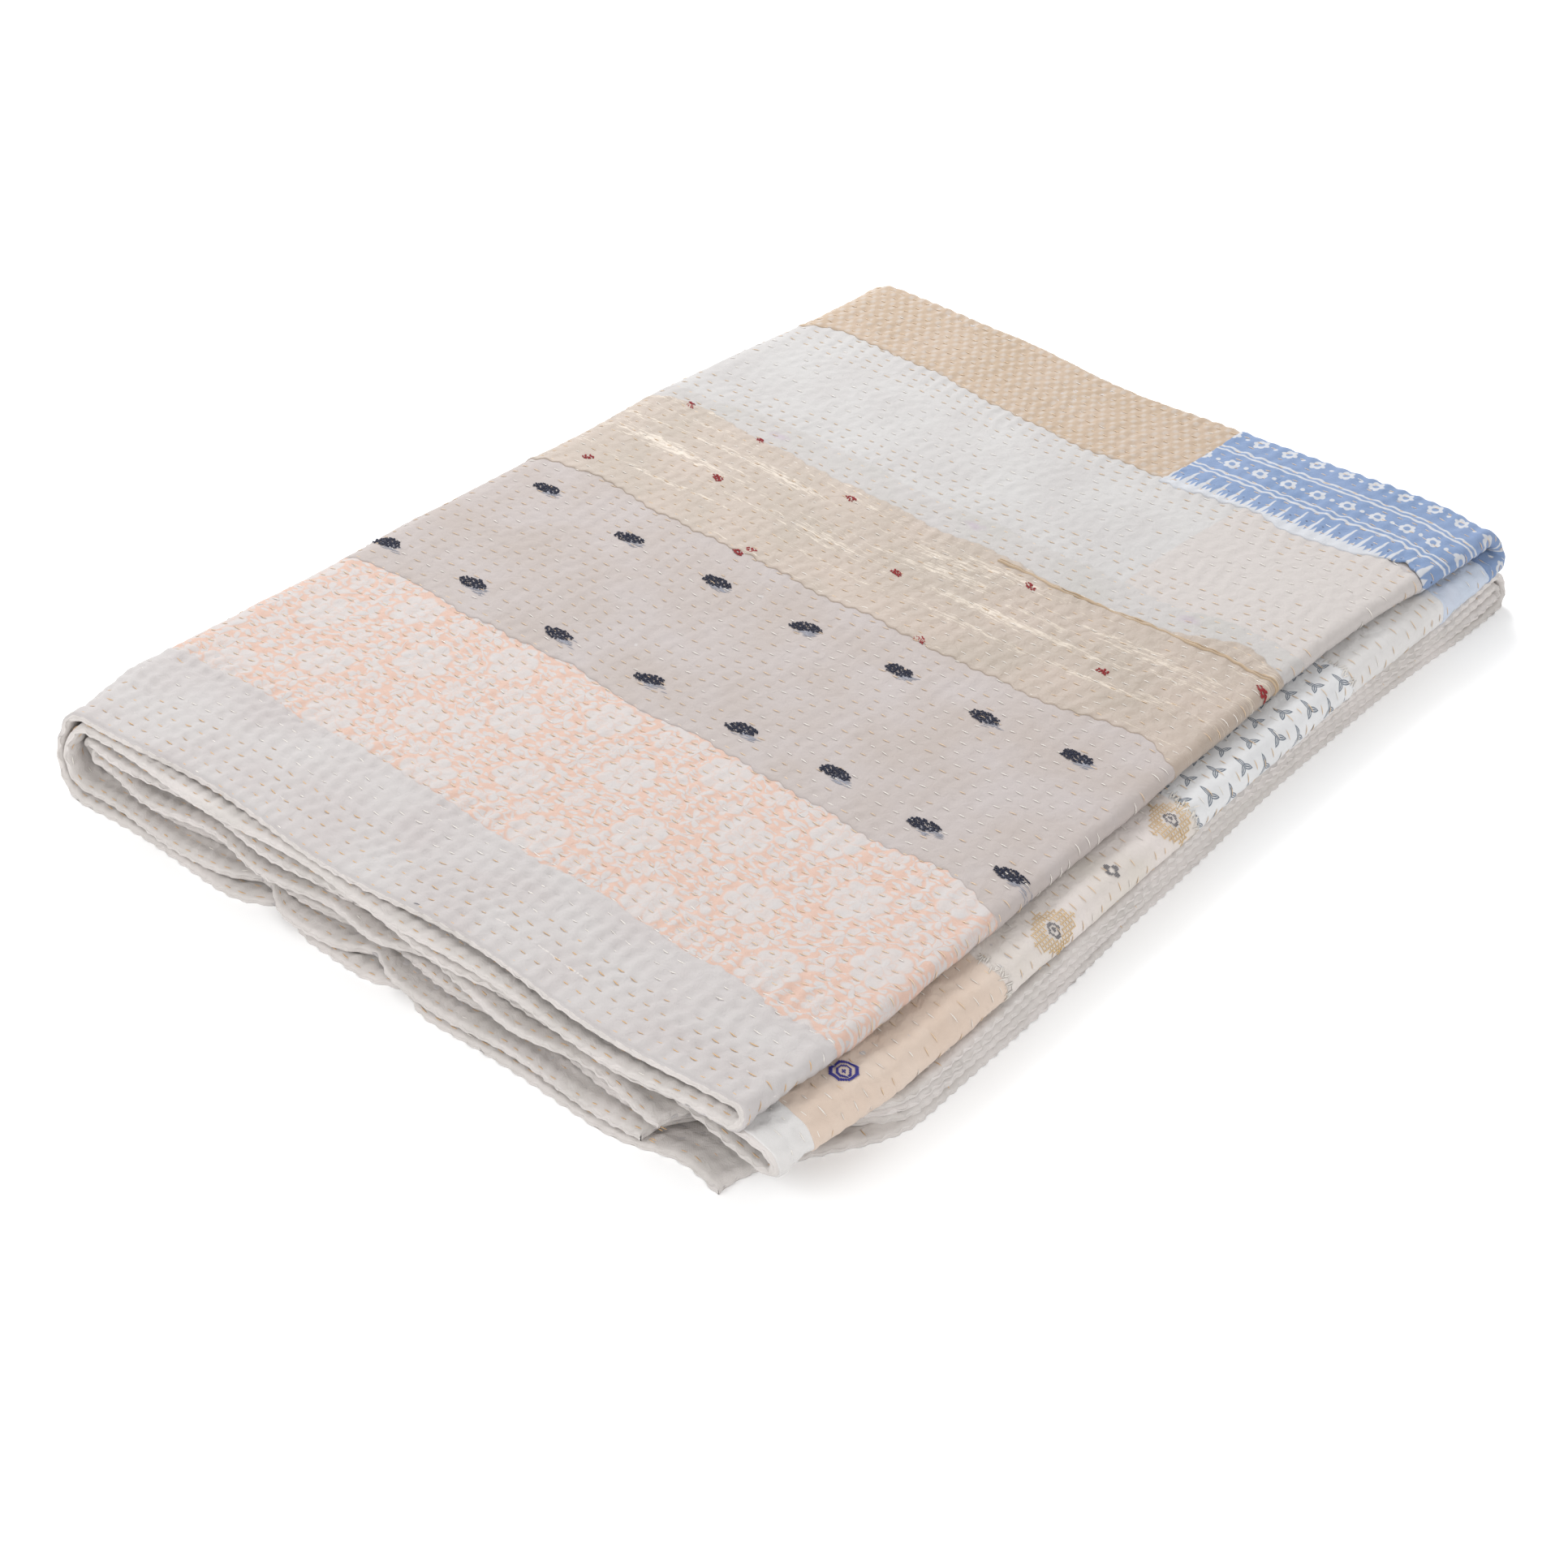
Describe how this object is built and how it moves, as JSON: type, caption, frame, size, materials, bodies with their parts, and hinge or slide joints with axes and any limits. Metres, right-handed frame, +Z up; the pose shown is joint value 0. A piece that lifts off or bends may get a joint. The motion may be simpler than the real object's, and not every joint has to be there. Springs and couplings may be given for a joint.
{
  "type": "folded kantha quilt",
  "caption": "Hand-stitched patchwork quilt of old cotton, folded in half three times into a low flat pile of layers with its hems at the front.",
  "frame": {"origin": "middle of the underside of the pile's box, on the surface that it lies on", "axes": "+Z up; +X towards the long side with the two folded edges and the free side hems; +Y towards the folded back side, away from the eight front hems"},
  "size_m": [0.6034, 0.7994, 0.0574],
  "materials": {
    "stitched_cotton": "soft dull plain-woven cotton, puckered by rows of hand running stitch"
  },
  "bodies": {
    "root": {"quilt": "stitched_cotton"}
  },
  "joints": []
}
